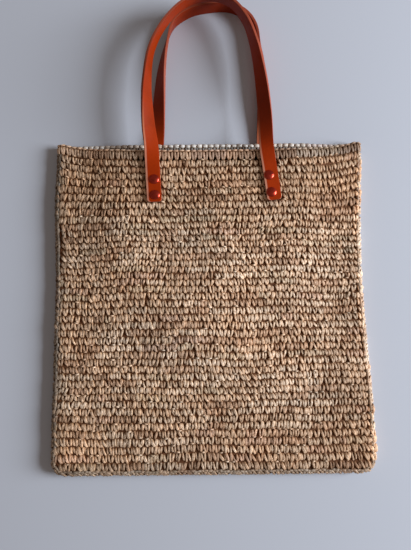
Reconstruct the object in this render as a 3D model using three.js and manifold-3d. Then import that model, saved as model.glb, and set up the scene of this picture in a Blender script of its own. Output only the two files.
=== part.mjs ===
// A flat tote bag crocheted from raffia, lying on its back, with two riveted leather handles.
// Millimetres. +X to the right, +Y from the bottom seam to the handles, +Z up out of the front panel.
// The origin is the middle of the back panel's outer face, which rests on z = 0.

import * as THREE from 'three';
import { mergeVertices } from 'three/addons/utils/BufferGeometryUtils.js';
import Module from 'manifold-3d';

const wasm = await Module();
wasm.setup();

// Air left between pieces that touch.
const gap = 0.3;

// The crocheted body, seen from above. Its sides draw in at the waist, near the mouth and towards the foot.
const bodyWidth = 376;
const bodyHeight = 380;
const bottomCornerRadius = 18;
const waistDraw = { left: 1, right: 7 };
const waistY = 45;
const waistReach = 200;
const mouthDraw = { left: 2, right: 0 };
const mouthDrawRun = 60;
const footDraw = { left: 3, right: 0 };
const footDrawStartY = 130;
const footDrawWholeY = 20;

// The crochet and its courses, which run from side to side.
const panelThickness = 5;
const coursePitch = 8.3;
const courseDepth = 0.9;

// The round of stitches that joins the panels, and the last round along the mouth.
const seamWidth = 9.5;
const seamSlack = 1.5;
const rimHeight = 12;

// The mouth's edges. Each reaches beyond the mouth's level, or stops short of it, by one length in its middle
// and another at the corners, and climbs steeply only near the corners. The courses below spread to suit.
const mouthEdges = {
  front: { middle: -3, corner: 10, columns: 12 },
  back: { middle: 9.5, corner: 10, columns: 8 },
};
const mouthClimb = 4;
const mouthSpread = 110;

// How the empty bag stands open, and how its back is lifted near the mouth by the rivets under it. The lift
// starts and is whole at these distances below the mouth, and fades out this far from the bag's middle.
const mouthGap = 8;
const crownHalfWidth = 95;
const crownRun = 90;
const liftStartDrop = 120;
const liftWholeDrop = 78;
const liftFadeX = 165;

// The leather straps. Their ends were riveted by hand, so each leans in its own way. A tail ends at its drop
// below the mouth, and a rivet lies at its margin from the tail, shifted to the right of the strap's middle.
const strapWidth = 16.8;
const strapThickness = 3;
const strapChamfer = 0.5;
const strapLift = 0.2;
const tailCornerRadius = 3.5;
const tabs = {
  front: {
    left: { rimX: -67.9, leanDegrees: 3.2, tailDrop: 66.7, rivetMargin: 7.9, rivetSpacing: 18.7, rivetShift: 1.2 },
    right: { rimX: 67.6, leanDegrees: 7, tailDrop: 65.6, rivetMargin: 9.3, rivetSpacing: 20.6, rivetShift: -2.2 },
  },
  back: {
    left: { rimX: -64.2, leanDegrees: 3.5, tailDrop: 66.2, rivetMargin: 8.6, rivetSpacing: 19.4, rivetShift: 0.6 },
    right: { rimX: 67.5, leanDegrees: 6, tailDrop: 66.6, rivetMargin: 8.4, rivetSpacing: 19.8, rivetShift: -0.8 },
  },
};

// The strap bends at a line across the tabs, this far below the mouth.
const flexDrop = 25;

// The loops. A route's points are [across, up], shares of half the tab spacing and of the rise. The twist
// starts and runs along the strap from each flex line, in shares of the rise too.
const handleRise = 190;
const loopClearance = 4;
const loopSteps = 60;
const loops = {
  front: {
    route: [[-1.045, 0.12], [-1.072, 0.25], [-1.08, 0.4], [-0.994, 0.635], [-0.73, 0.82], [-0.38, 0.94],
      [0.066, 0.98], [0.416, 0.94], [0.668, 0.825], [0.814, 0.67], [0.92, 0.45], [0.98, 0.2]],
    twistDegrees: 97,
    twist: { left: { start: 0, run: 1.184, ease: 1.8 }, right: { start: 0, run: 1.158, ease: 1.05 } },
  },
  back: {
    route: [[-0.98, 0.14], [-0.955, 0.31], [-0.9, 0.56], [-0.81, 0.735], [-0.67, 0.875], [-0.37, 0.955],
      [0.06, 0.99], [0.42, 0.987], [0.7, 0.935], [0.89, 0.84], [0.975, 0.69], [1.01, 0.45], [1.01, 0.2]],
    twistDegrees: 90,
    twist: { left: { start: 0.187, run: 0.907, ease: 1.15 }, right: { start: 0.187, run: 0.855, ease: 1.2 } },
  },
};

// Rivets: a domed cap with a hollow barrel outside, a flanged stud with a post inside.
const capRadius = 5.8;
const capHeight = 2.2;
const barrelRadius = 2.4;
const postRadius = 1.6;
const postIntoCap = 0.6;
const flangeRadius = 4.5;
const flangeHeight = 1;
const rivetSides = 14;

// The leather patch behind each pair of rivets.
const patchWidth = 22;
const patchMargin = 9;
const patchThickness = 1.6;
const patchCornerRadius = 4;

// Levels worked out from the sizes above.
const rimTop = bodyHeight / 2;
const bodyBottom = -bodyHeight / 2;
const rimBottom = rimTop - rimHeight;
const seamHeight = 2 * panelThickness + seamSlack;
const backLift = capHeight + gap + strapThickness + gap;
const crownTop = backLift + panelThickness + mouthGap + panelThickness;
const panelInset = seamWidth + gap;
const flexY = rimTop - flexDrop;
const frontStrapBottom = crownTop + gap;
const frontStrapTop = frontStrapBottom + strapThickness;
const backStrapBottom = capHeight + gap;

const raffia = new THREE.MeshStandardMaterial({ name: 'raffia', color: 0xb08c68, roughness: 0.85 });
const raffiaEdge = new THREE.MeshStandardMaterial({ name: 'raffia_edge', color: 0xa98564, roughness: 0.85 });
const leather = new THREE.MeshStandardMaterial({ name: 'leather', color: 0x9a4216, roughness: 0.5 });
const patchLeather = new THREE.MeshStandardMaterial({ name: 'patch', color: 0x7d3a1a, roughness: 0.8 });
const copper = new THREE.MeshStandardMaterial({
  name: 'copper', color: 0x8a3b22, roughness: 0.35, metalness: 1,
});

const bag = new THREE.Group();
bag.name = 'crocheted_tote';

function addPiece(name, geometry, material) {
  geometry.computeVertexNormals();
  const piece = new THREE.Mesh(geometry, material);
  piece.name = name;
  bag.add(piece);
}

// A value that goes from 0 at start to 1 at end, with a soft beginning and end.
function smooth(value, start, end) {
  const share = Math.min(1, Math.max(0, (value - start) / (end - start)));
  return share * share * (3 - 2 * share);
}

// A closed mesh from rings of points, each with the same number of points. Without closed it gets end caps.
function ringsToGeometry(rings, closed) {
  const size = rings[0].length;
  const positions = rings.flat().flatMap((point) => [point.x, point.y, point.z]);
  const faces = [];
  const spans = closed ? rings.length : rings.length - 1;
  for (let ring = 0; ring < spans; ring += 1) {
    const here = ring * size;
    const next = ((ring + 1) % rings.length) * size;
    for (let side = 0; side < size; side += 1) {
      const other = (side + 1) % size;
      faces.push(here + side, here + other, next + other, here + side, next + other, next + side);
    }
  }
  if (!closed) {
    const last = (rings.length - 1) * size;
    for (let side = 1; side < size - 1; side += 1) {
      faces.push(0, side + 1, side, last, last + side, last + side + 1);
    }
  }
  const geometry = new THREE.BufferGeometry();
  geometry.setAttribute('position', new THREE.Float32BufferAttribute(positions, 3));
  geometry.setIndex(faces);
  return geometry;
}

// Joins and cuts.
function toManifold(geometry) {
  const bare = geometry.clone();
  bare.deleteAttribute('normal');
  bare.deleteAttribute('uv');
  const merged = mergeVertices(bare, 1e-4);
  return new wasm.Manifold(new wasm.Mesh({
    numProp: 3,
    vertProperties: Float32Array.from(merged.attributes.position.array),
    triVerts: Uint32Array.from(merged.index.array),
  }));
}

function fromManifold(solid) {
  const mesh = solid.getMesh();
  const geometry = new THREE.BufferGeometry();
  geometry.setAttribute('position', new THREE.Float32BufferAttribute(mesh.vertProperties, 3));
  geometry.setIndex(Array.from(mesh.triVerts));
  return geometry;
}

function drill(geometry, centres, radius) {
  let solid = toManifold(geometry);
  for (const centre of centres) {
    const bit = new THREE.CylinderGeometry(radius, radius, 4 * crownTop, rivetSides);
    bit.rotateX(Math.PI / 2);
    bit.translate(centre.x, centre.y, 0);
    solid = solid.subtract(toManifold(bit));
  }
  return fromManifold(solid);
}

// The body's outline, inset by a distance. The sides are drawn in at the waist, at the mouth and round the
// bottom corners.
function sideX(side, y, inset) {
  const share = Math.min(1, Math.abs(y - waistY) / waistReach);
  const waist = waistDraw[side] * Math.cos(share * Math.PI / 2) ** 2;
  const mouth = mouthDraw[side] * smooth(y, rimTop - mouthDrawRun, rimTop);
  const foot = footDraw[side] * (1 - smooth(y, footDrawWholeY, footDrawStartY));
  const radius = Math.max(bottomCornerRadius - inset, 0);
  const below = Math.min(radius, Math.max(0, bodyBottom + inset + radius - y));
  const corner = radius - Math.sqrt(radius * radius - below * below);
  const reach = bodyWidth / 2 - waist - mouth - foot - inset - corner;
  return side === 'left' ? -reach : reach;
}

// The four faces of the two panels.
function crown(x, y) {
  const side = x < 0 ? 'left' : 'right';
  const edge = Math.abs(sideX(side, Math.max(y, bodyBottom + bottomCornerRadius), panelInset));
  const across = smooth(edge - Math.abs(x), 0, edge - crownHalfWidth);
  const along = smooth(y, bodyBottom + panelInset, bodyBottom + panelInset + crownRun);
  return across * along;
}

function frontOuter(x, y) {
  return seamHeight + (crownTop - seamHeight) * crown(x, y);
}

function frontInner(x, y) {
  return frontOuter(x, y) - panelThickness;
}

// The back panel lies flat, and is lifted near the mouth by the handle's ends and rivets under it.
function backOuter(x, y) {
  const across = 1 - smooth(Math.abs(x), crownHalfWidth, liftFadeX);
  return backLift * across * smooth(y, rimTop - liftStartDrop, rimTop - liftWholeDrop);
}

function backInner(x, y) {
  return backOuter(x, y) + panelThickness;
}

// How far a mouth edge reaches, at a share of the width. It runs straight between the panel's columns, so that
// the panel and the rim fit each other.
function mouthReach(edge, share) {
  const place = share * edge.columns;
  const column = Math.min(Math.floor(place), edge.columns - 1);
  const reachAt = (index) => {
    const fromMiddle = Math.abs(2 * index / edge.columns - 1);
    return edge.middle + (edge.corner - edge.middle) * fromMiddle ** mouthClimb;
  };
  return THREE.MathUtils.lerp(reachAt(column), reachAt(column + 1), place - column);
}

// A point of a panel, at a share of its width and at a height that the edge's reach is added to.
function onPanel(edge, share, height) {
  const y = height + mouthReach(edge, share) * smooth(height, rimTop - mouthSpread, rimBottom);
  const left = sideX('left', y, panelInset);
  const right = sideX('right', y, panelInset);
  return new THREE.Vector2(THREE.MathUtils.lerp(left, right, share), y);
}

// A panel between an upper and a lower face. Each face has its own rows, as [height, depth] pairs, where
// depth sinks the face into the panel. Both have the same columns, so only the sides need matching up.
function panelGeometry(edge, upper, lower) {
  const columns = edge.columns;
  const positions = [];
  const faces = [];
  const addFace = (face) => face.rows.map(([height, depth]) => {
    const row = [];
    for (let column = 0; column <= columns; column += 1) {
      const { x, y } = onPanel(edge, column / columns, height);
      row.push(positions.length / 3);
      positions.push(x, y, face.height(x, y) + face.sink * depth);
    }
    return row;
  });
  const top = addFace(upper);
  const bottom = addFace(lower);
  const addQuad = (a, b, c, d) => faces.push(a, b, c, a, c, d);
  for (let row = 0; row < top.length - 1; row += 1) {
    for (let column = 0; column < columns; column += 1) {
      addQuad(top[row][column], top[row][column + 1], top[row + 1][column + 1], top[row + 1][column]);
    }
  }
  for (let row = 0; row < bottom.length - 1; row += 1) {
    for (let column = 0; column < columns; column += 1) {
      addQuad(bottom[row][column], bottom[row + 1][column], bottom[row + 1][column + 1], bottom[row][column + 1]);
    }
  }
  const topEnd = top.length - 1;
  const bottomEnd = bottom.length - 1;
  for (let column = 0; column < columns; column += 1) {
    addQuad(bottom[0][column], bottom[0][column + 1], top[0][column + 1], top[0][column]);
    addQuad(bottom[bottomEnd][column + 1], bottom[bottomEnd][column], top[topEnd][column], top[topEnd][column + 1]);
  }
  const heightOf = (index) => positions[index * 3 + 1];
  for (const [column, turned] of [[0, false], [columns, true]]) {
    let up = 0;
    let down = 0;
    while (up < topEnd || down < bottomEnd) {
      const upperNext = up < topEnd ? heightOf(top[up + 1][column]) : Infinity;
      const lowerNext = down < bottomEnd ? heightOf(bottom[down + 1][column]) : Infinity;
      const corner = [top[up][column], bottom[down][column]];
      if (upperNext <= lowerNext) {
        up += 1;
        corner.push(top[up][column]);
        faces.push(...(turned ? [corner[0], corner[1], corner[2]] : [corner[1], corner[0], corner[2]]));
      } else {
        down += 1;
        corner.push(bottom[down][column]);
        faces.push(...(turned ? [corner[0], corner[1], corner[2]] : [corner[1], corner[0], corner[2]]));
      }
    }
  }
  const geometry = new THREE.BufferGeometry();
  geometry.setAttribute('position', new THREE.Float32BufferAttribute(positions, 3));
  geometry.setIndex(faces);
  return geometry;
}

// Rows of a crocheted face. Each course is a ridge, or on the face that is laid on, a flat land and a groove.
function courseRows(bottomY, topY, flattened) {
  const count = Math.round((topY - bottomY) / coursePitch);
  const pitch = (topY - bottomY) / count;
  const rows = [];
  for (let course = 0; course < count; course += 1) {
    const start = bottomY + course * pitch;
    rows.push([start, course === 0 ? 0 : courseDepth]);
    if (flattened) {
      rows.push([start + 0.2 * pitch, 0], [start + 0.8 * pitch, 0]);
    } else {
      rows.push([start + 0.5 * pitch, 0]);
    }
  }
  rows.push([topY, 0]);
  return rows;
}

// Rows of the plain inner face, close enough to follow its curve.
function plainRows(bottomY, topY) {
  const count = Math.round((topY - bottomY) / (3 * coursePitch));
  const rows = [];
  for (let row = 0; row <= count; row += 1) {
    rows.push([THREE.MathUtils.lerp(bottomY, topY, row / count), 0]);
  }
  return rows;
}

// The middle of a strap's end at a height on the bag.
function tabPoint(tab, y) {
  const slope = Math.tan(THREE.MathUtils.degToRad(tab.leanDegrees));
  return new THREE.Vector2(tab.rimX + (rimTop - y) * slope, y);
}

// A place on a tab, from the middle of its tail: across to the right, and along towards the mouth.
function onTab(tab, across, along) {
  const lean = THREE.MathUtils.degToRad(tab.leanDegrees);
  const right = new THREE.Vector2(Math.cos(lean), Math.sin(lean));
  const up = new THREE.Vector2(-Math.sin(lean), Math.cos(lean));
  return tabPoint(tab, rimTop - tab.tailDrop).addScaledVector(right, across).addScaledVector(up, along);
}

function rivetCentres(tab) {
  return {
    lower: onTab(tab, tab.rivetShift, tab.rivetMargin),
    upper: onTab(tab, tab.rivetShift, tab.rivetMargin + tab.rivetSpacing),
  };
}

function rivetsThrough(handleName) {
  return Object.values(tabs[handleName]).flatMap((tab) => Object.values(rivetCentres(tab)));
}

const barrelHole = barrelRadius + gap;
const postHole = postRadius + gap;

// The two panels.
const panelBottom = bodyBottom + panelInset;
const panelTop = rimBottom - gap;

const frontPanel = panelGeometry(
  mouthEdges.front,
  { height: frontOuter, sink: -1, rows: courseRows(panelBottom, panelTop, false) },
  { height: frontInner, sink: 1, rows: plainRows(panelBottom, panelTop) },
);
addPiece('front_panel', drill(frontPanel, rivetsThrough('front'), barrelHole), raffia);

const backPanel = panelGeometry(
  mouthEdges.back,
  { height: backInner, sink: -1, rows: plainRows(panelBottom, panelTop) },
  { height: backOuter, sink: 1, rows: courseRows(panelBottom, panelTop, true) },
);
addPiece('back_panel', drill(backPanel, rivetsThrough('back'), barrelHole), raffia);

// A rounded section, as [across, up] pairs anticlockwise, centred on the path it is swept along.
function roundedSection(width, height, radius, cornerSteps) {
  const section = [];
  const centres = [[1, 1], [-1, 1], [-1, -1], [1, -1]];
  centres.forEach(([sideways, upwards], quarter) => {
    for (let step = 0; step <= cornerSteps; step += 1) {
      const angle = (quarter + step / cornerSteps) * Math.PI / 2;
      section.push([
        sideways * (width / 2 - radius) + radius * Math.cos(angle),
        upwards * (height / 2 - radius) + radius * Math.sin(angle),
      ]);
    }
  });
  return section;
}

// The joining seam runs down the left side, along the bottom and up the right side as one piece.
const seamRadius = 3;
const sideSteps = 18;
const cornerSteps = 6;

function seamPath() {
  const inset = seamWidth / 2;
  const radius = bottomCornerRadius - inset;
  const cornerY = bodyBottom + bottomCornerRadius;
  const top = panelTop + Math.min(mouthEdges.front.corner, mouthEdges.back.corner);
  const path = [];
  for (let step = 0; step < sideSteps; step += 1) {
    const y = THREE.MathUtils.lerp(top, cornerY, step / sideSteps);
    path.push(new THREE.Vector2(sideX('left', y, inset), y));
  }
  for (let step = 0; step <= cornerSteps; step += 1) {
    const angle = Math.PI * (1 + step / (2 * cornerSteps));
    path.push(new THREE.Vector2(
      sideX('left', cornerY, inset) + radius + radius * Math.cos(angle),
      cornerY + radius * Math.sin(angle),
    ));
  }
  for (let step = 0; step <= cornerSteps; step += 1) {
    const angle = Math.PI * (1.5 + step / (2 * cornerSteps));
    path.push(new THREE.Vector2(
      sideX('right', cornerY, inset) - radius + radius * Math.cos(angle),
      cornerY + radius * Math.sin(angle),
    ));
  }
  for (let step = 1; step <= sideSteps; step += 1) {
    const y = THREE.MathUtils.lerp(cornerY, top, step / sideSteps);
    path.push(new THREE.Vector2(sideX('right', y, inset), y));
  }
  return path;
}

function seamGeometry() {
  const path = seamPath();
  const section = roundedSection(seamWidth, seamHeight, seamRadius, 1);
  const rings = path.map((point, index) => {
    const before = path[Math.max(index - 1, 0)];
    const after = path[Math.min(index + 1, path.length - 1)];
    const ends = index === 0 || index === path.length - 1;
    const along = ends ? new THREE.Vector2(0, index === 0 ? -1 : 1) : after.clone().sub(before).normalize();
    const inward = new THREE.Vector2(-along.y, along.x);
    return section.map(([across, up]) => new THREE.Vector3(
      point.x + inward.x * across,
      point.y + inward.y * across,
      seamHeight / 2 + up,
    ));
  });
  return ringsToGeometry(rings, false);
}

addPiece('joining_seam', seamGeometry(), raffiaEdge);

// The mouth rim is one flat band that goes along the front, round the right end, back, and round the left end.
const rimRadius = 1.6;
const rimColumns = 24;
const rimEndSteps = 6;

function rimGeometry() {
  const frontEnd = seamHeight - panelThickness / 2;
  const backEnd = panelThickness / 2;
  const turn = (frontEnd - backEnd) / 2;
  const inset = turn + panelThickness / 2;
  const cornerY = { front: rimTop + mouthEdges.front.corner, back: rimTop + mouthEdges.back.corner };
  const path = [];
  const addPoint = (x, top, z) => path.push(new THREE.Vector3(x, top - rimHeight / 2, z));
  const addSide = (face, share) => {
    const { x, y } = onPanel(mouthEdges[face], share, rimBottom);
    const middle = face === 'front' ? frontOuter(x, y) - panelThickness / 2 : backOuter(x, y) + panelThickness / 2;
    addPoint(x, y + rimHeight, middle);
  };
  const addEnd = (side, first, last) => {
    const x = sideX(side, cornerY.front, inset);
    const outwards = side === 'left' ? -1 : 1;
    for (let step = 0; step <= rimEndSteps; step += 1) {
      const share = step / rimEndSteps;
      const rise = first === 'front' ? turn * Math.cos(share * Math.PI) : -turn * Math.cos(share * Math.PI);
      addPoint(
        x + outwards * turn * Math.sin(share * Math.PI),
        THREE.MathUtils.lerp(cornerY[first], cornerY[last], share),
        (frontEnd + backEnd) / 2 + rise,
      );
    }
  };
  for (let step = 0; step <= rimColumns; step += 1) {
    addSide('front', step / rimColumns);
  }
  addEnd('right', 'front', 'back');
  for (let step = rimColumns; step >= 0; step -= 1) {
    addSide('back', step / rimColumns);
  }
  addEnd('left', 'back', 'front');
  const section = roundedSection(panelThickness, rimHeight, rimRadius, 1);
  const rings = path.map((point, index) => {
    const before = path[(index + path.length - 1) % path.length];
    const after = path[(index + 1) % path.length];
    const along = new THREE.Vector2(after.x - before.x, after.z - before.z).normalize();
    return section.map(([across, up]) => new THREE.Vector3(
      point.x + along.y * across,
      point.y + up,
      point.z - along.x * across,
    ));
  });
  return ringsToGeometry(rings, true);
}

addPiece('mouth_rim', rimGeometry(), raffiaEdge);

// A tab is the riveted end of a strap, cut straight across at the flex line and rounded at its tail.
function tabShape(tab) {
  const lean = THREE.MathUtils.degToRad(tab.leanDegrees);
  const half = strapWidth / 2;
  const flexAt = (across) => onTab(tab, across, (flexY - onTab(tab, across, 0).y) / Math.cos(lean));
  const radius = tailCornerRadius;
  const rightTurn = onTab(tab, half - radius, radius);
  const leftTurn = onTab(tab, radius - half, radius);
  const shape = new THREE.Shape();
  const start = flexAt(half);
  const end = flexAt(-half);
  shape.moveTo(start.x, start.y);
  shape.lineTo(end.x, end.y);
  shape.absarc(leftTurn.x, leftTurn.y, radius, Math.PI + lean, 1.5 * Math.PI + lean, false);
  shape.absarc(rightTurn.x, rightTurn.y, radius, 1.5 * Math.PI + lean, 2 * Math.PI + lean, false);
  return shape;
}

function tabGeometry(tab) {
  const shape = tabShape(tab);
  for (const centre of Object.values(rivetCentres(tab))) {
    const hole = new THREE.Path();
    hole.absarc(centre.x, centre.y, barrelHole, 0, 2 * Math.PI, true);
    shape.holes.push(hole);
  }
  const geometry = new THREE.ExtrudeGeometry(shape, {
    depth: strapThickness - 2 * strapChamfer,
    bevelThickness: strapChamfer,
    bevelSize: strapChamfer,
    bevelOffset: -strapChamfer,
    bevelSegments: 1,
    curveSegments: 5,
  });
  geometry.translate(0, 0, strapChamfer);
  return geometry;
}

// A loop is the strap between its flex lines. It is flat there, turns on edge along its legs, and stands
// on edge round the arch with its outer, grained face towards the inside of the loop.
function loopRoute(handleName) {
  const { left, right } = tabs[handleName];
  const middleX = (left.rimX + right.rimX) / 2;
  const halfSpacing = (right.rimX - left.rimX) / 2;
  const points = [tabPoint(left, flexY), tabPoint(left, rimTop)];
  for (const [across, up] of loops[handleName].route) {
    points.push(new THREE.Vector2(middleX + across * halfSpacing, rimTop + up * handleRise));
  }
  points.push(tabPoint(right, rimTop), tabPoint(right, flexY));
  return new THREE.CatmullRomCurve3(
    points.map((point) => new THREE.Vector3(point.x, point.y, 0)),
    false,
    'centripetal',
  );
}

function twistAt(loop, distance, length) {
  const side = distance < length / 2 ? 'left' : 'right';
  const fromFlex = side === 'left' ? distance : length - distance;
  const { start, run, ease } = loop.twist[side];
  const share = Math.min(1, Math.max(0, (fromFlex / handleRise - start) / run));
  return THREE.MathUtils.degToRad(loop.twistDegrees) * (1 - (1 - share) ** ease);
}

// Half the height that the strap's section takes up at a twist.
function halfStance(twist) {
  return (strapWidth / 2) * Math.sin(twist) + (strapThickness / 2) * Math.abs(Math.cos(twist));
}

// The larger of two values, rounded off where they meet.
function softMax(first, second, softness) {
  return (first + second + Math.sqrt((first - second) ** 2 + softness ** 2)) / 2;
}

const backArchTop = strapLift + 2 * halfStance(Math.PI / 2);
const frontArchMiddle = backArchTop + loopClearance + halfStance(Math.PI / 2);
const stanceSoftness = 0.8;

// The back strap leaves its tab under the bag and then stands on the floor, on its outer edge. The front
// strap lies on the crochet with its inner edge and then stays level over the back one.
function backMiddle(twist) {
  const flat = backStrapBottom + strapThickness / 2;
  const standing = strapLift + halfStance(twist);
  return flat + softMax(0, standing - flat, stanceSoftness) - stanceSoftness / 2 * (1 - Math.sin(twist));
}

function frontMiddle(twist) {
  const lying = frontStrapBottom + halfStance(twist);
  return frontArchMiddle - softMax(0, frontArchMiddle - lying, stanceSoftness);
}

function loopGeometry(handleName, facing, middleAt) {
  const loop = loops[handleName];
  const curve = loopRoute(handleName);
  curve.arcLengthDivisions = 600;
  const length = curve.getLength();
  const section = roundedSection(strapWidth, strapThickness, strapChamfer, 1);
  const face = new THREE.Vector3(0, 0, facing);
  const rings = [];
  for (let step = 0; step <= loopSteps; step += 1) {
    const share = step / loopSteps;
    const centre = curve.getPointAt(share);
    const along = curve.getTangentAt(share).normalize();
    const twist = twistAt(loop, share * length, length);
    centre.z = middleAt(twist);
    const inward = new THREE.Vector3(along.y, -along.x, 0);
    const normal = face.clone().multiplyScalar(Math.cos(twist)).addScaledVector(inward, Math.sin(twist));
    const outward = inward.clone().multiplyScalar(-Math.cos(twist)).addScaledVector(face, Math.sin(twist));
    const ring = section.map(([across, up]) => {
      const point = centre.clone().addScaledVector(outward, across).addScaledVector(normal, up);
      if (step === 0 || step === loopSteps) {
        point.addScaledVector(along, (flexY + gap - point.y) / along.y);
      }
      return point;
    });
    if (facing < 0) {
      ring.reverse();
    }
    rings.push(ring);
  }
  return ringsToGeometry(rings, false);
}

addPiece('front_handle_loop', loopGeometry('front', 1, frontMiddle), leather);
addPiece('back_handle_loop', loopGeometry('back', -1, backMiddle), leather);

// The patch behind a tab's two rivets.
function patchGeometry(tab) {
  const lean = THREE.MathUtils.degToRad(tab.leanDegrees);
  const { lower, upper } = rivetCentres(tab);
  const width = patchWidth;
  const length = upper.distanceTo(lower) + 2 * patchMargin;
  const radius = patchCornerRadius;
  const outline = new THREE.Shape();
  outline.absarc(width / 2 - radius, length / 2 - radius, radius, 0, 0.5 * Math.PI, false);
  outline.absarc(radius - width / 2, length / 2 - radius, radius, 0.5 * Math.PI, Math.PI, false);
  outline.absarc(radius - width / 2, radius - length / 2, radius, Math.PI, 1.5 * Math.PI, false);
  outline.absarc(width / 2 - radius, radius - length / 2, radius, 1.5 * Math.PI, 2 * Math.PI, false);
  for (const along of [-tab.rivetSpacing / 2, tab.rivetSpacing / 2]) {
    const hole = new THREE.Path();
    hole.absarc(0, along, postHole, 0, 2 * Math.PI, true);
    outline.holes.push(hole);
  }
  const geometry = new THREE.ExtrudeGeometry(outline, {
    depth: patchThickness, bevelEnabled: false, curveSegments: 4,
  });
  geometry.rotateZ(lean);
  geometry.translate((lower.x + upper.x) / 2, (lower.y + upper.y) / 2, 0);
  return geometry;
}

// Rivet halves, drawn with the outside of the bag up and z = 0 on the strap's outer face.
const stackDepth = strapThickness + gap + panelThickness + gap + patchThickness;
const barrelDepth = strapThickness + 1;

function capGeometry() {
  const profile = [
    [0, gap + capHeight],
    [0.45 * capRadius, gap + 0.9 * capHeight],
    [0.8 * capRadius, gap + 0.6 * capHeight],
    [capRadius, gap + 0.2 * capHeight],
    [0.94 * capRadius, gap],
    [barrelRadius, gap],
    [barrelRadius, -barrelDepth],
    [postHole, -barrelDepth],
    [postHole, gap + postIntoCap + gap],
    [0, gap + postIntoCap + gap],
  ];
  return turned(profile.reverse());
}

function studGeometry() {
  const seat = -stackDepth - gap;
  const profile = [
    [0, seat - flangeHeight],
    [0.75 * flangeRadius, seat - flangeHeight],
    [flangeRadius, seat - 0.45 * flangeHeight],
    [flangeRadius, seat],
    [postRadius, seat],
    [postRadius, gap + postIntoCap],
    [0, gap + postIntoCap],
  ];
  return turned(profile);
}

function turned(profile) {
  const points = profile.map(([radius, height]) => new THREE.Vector2(radius, height));
  const geometry = new THREE.LatheGeometry(points, rivetSides);
  geometry.deleteAttribute('normal');
  geometry.deleteAttribute('uv');
  geometry.rotateX(Math.PI / 2);
  return mergeVertices(geometry, 1e-4);
}

// A side of the bag places its stack: up is outwards, from the level of the strap's outer face.
const handles = {
  front: { outerFace: frontStrapTop, outwards: 1 },
  back: { outerFace: backStrapBottom, outwards: -1 },
};

// Turns a geometry over, so that its top faces the floor, with its faces still pointing out.
function turnedOver(geometry) {
  geometry.scale(1, 1, -1);
  const index = geometry.index ? Array.from(geometry.index.array) : null;
  const order = index ?? Array.from({ length: geometry.attributes.position.count }, (_, place) => place);
  for (let corner = 0; corner < order.length; corner += 3) {
    [order[corner + 1], order[corner + 2]] = [order[corner + 2], order[corner + 1]];
  }
  geometry.setIndex(order);
  return geometry;
}

function placed(geometry, handle, depth, centre) {
  const ready = handle.outwards > 0 ? geometry : turnedOver(geometry);
  ready.translate(centre.x, centre.y, handle.outerFace - handle.outwards * depth);
  return ready;
}

const atOrigin = new THREE.Vector2(0, 0);
for (const [handleName, handle] of Object.entries(handles)) {
  for (const [side, tab] of Object.entries(tabs[handleName])) {
    const leatherEnd = placed(tabGeometry(tab), handle, strapThickness, atOrigin);
    addPiece(`${handleName}_tab_${side}`, leatherEnd, leather);
    const patch = placed(patchGeometry(tab), handle, stackDepth, atOrigin);
    addPiece(`${handleName}_patch_${side}`, patch, patchLeather);
    for (const [level, centre] of Object.entries(rivetCentres(tab))) {
      const label = `${handleName}_${side}_${level}`;
      addPiece(`${label}_cap`, placed(capGeometry(), handle, 0, centre), copper);
      addPiece(`${label}_stud`, placed(studGeometry(), handle, 0, centre), copper);
    }
  }
}

export default bag;
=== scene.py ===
import math
from collections import namedtuple

import bpy
import numpy as np
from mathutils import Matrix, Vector


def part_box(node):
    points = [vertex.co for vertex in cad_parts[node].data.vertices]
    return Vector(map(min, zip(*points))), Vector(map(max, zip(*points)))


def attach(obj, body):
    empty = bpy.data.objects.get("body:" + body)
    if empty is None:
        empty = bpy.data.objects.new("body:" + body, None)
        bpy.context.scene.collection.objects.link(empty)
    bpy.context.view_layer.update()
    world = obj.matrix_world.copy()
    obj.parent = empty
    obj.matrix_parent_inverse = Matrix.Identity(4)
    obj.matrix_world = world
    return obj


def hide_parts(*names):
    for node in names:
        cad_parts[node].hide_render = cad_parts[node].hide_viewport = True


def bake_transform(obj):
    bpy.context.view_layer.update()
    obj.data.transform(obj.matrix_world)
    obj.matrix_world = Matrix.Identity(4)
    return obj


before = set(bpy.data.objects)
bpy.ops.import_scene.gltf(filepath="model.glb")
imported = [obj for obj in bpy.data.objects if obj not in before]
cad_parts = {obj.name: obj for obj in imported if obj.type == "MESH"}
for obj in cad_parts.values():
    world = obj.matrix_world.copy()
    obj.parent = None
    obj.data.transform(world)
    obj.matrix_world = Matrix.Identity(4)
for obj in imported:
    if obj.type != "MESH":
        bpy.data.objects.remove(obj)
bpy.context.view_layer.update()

# The camera looks almost straight down on the bag, which lies on its back on the floor. It stands over the
# bag's middle, and is tipped a little towards the handles. MM makes metres of millimetres.
MM = 0.001
CAMERA_PLACE = Vector((-6.11, -11.15, 515.6)) * MM
CAMERA_TIP = math.radians(5.62)
CAMERA_TURN = math.radians(-0.56)
CAMERA_LENS = 28.15
CAMERA_SENSOR = 36

camera = bpy.data.objects.new("camera", bpy.data.cameras.new("camera"))
bpy.context.scene.collection.objects.link(camera)
camera.location = CAMERA_PLACE
camera.rotation_euler = (CAMERA_TIP, 0, CAMERA_TURN)
camera.data.lens = CAMERA_LENS
camera.data.sensor_width = CAMERA_SENSOR
bpy.context.scene.camera = camera
bpy.context.scene.view_settings.view_transform = "Standard"

# The floor is plain and pale. The main light is cool and comes in low from the right, so the bag throws a
# short shadow to the left. A weaker, warmer glow comes from all round.
FLOOR_SIZE = 6.0
FLOOR_DROP = 0.3 * MM
FLOOR_ROUGHNESS = 0.7
FLOOR_SHINE = 0.2
SKY_COLOUR = (1.0, 0.84, 0.72, 1.0)
SKY_STRENGTH = 0.2
WINDOW_PLACE = Vector((2.6, 0.05, 1.08))
WINDOW_SIZE = 1.25
WINDOW_POWER = 142
WINDOW_COLOUR = (0.89, 0.95, 1.0)


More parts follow.
